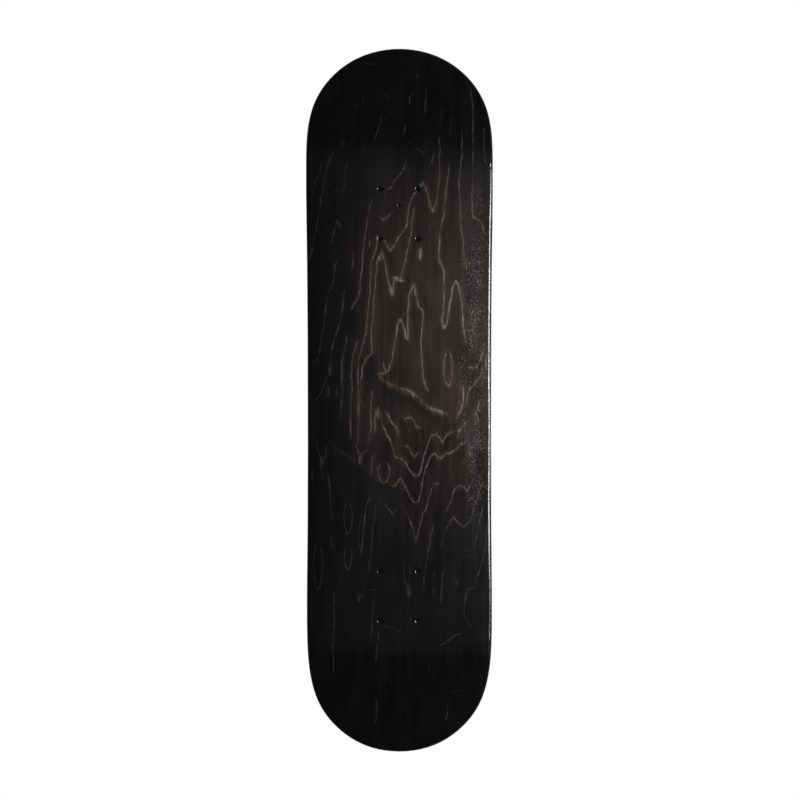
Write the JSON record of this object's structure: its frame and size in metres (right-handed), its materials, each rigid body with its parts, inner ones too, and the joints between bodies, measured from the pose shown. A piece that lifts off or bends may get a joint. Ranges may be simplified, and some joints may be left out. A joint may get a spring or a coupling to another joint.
{
  "type": "skateboard deck",
  "caption": "Pressed wooden skateboard deck with a raised nose and tail, concave rails, a rounded black edge and drilled truck holes.",
  "frame": {"origin": "on the flat of the underside, midway between the two truck hole patterns and on the centre line", "axes": "+X along the board to the nose, +Y across it, +Z out of the riding face"},
  "size_m": [0.7804, 0.2044, 0.0536],
  "materials": {
    "underside_face": "black-stained maple veneer under clear lacquer",
    "riding_face": "black-stained maple veneer under clear lacquer",
    "core_ply": "maple veneer, edge stained black, grain along the board",
    "cross_ply": "maple veneer, edge stained black, grain across the board"
  },
  "bodies": {
    "root": {"bottom_face_veneer": "underside_face", "lower_core_veneer": "core_ply", "lower_cross_veneer": "cross_ply", "centre_core_veneer": "core_ply", "upper_cross_veneer": "cross_ply", "upper_core_veneer": "core_ply", "top_face_veneer": "riding_face"}
  },
  "joints": []
}
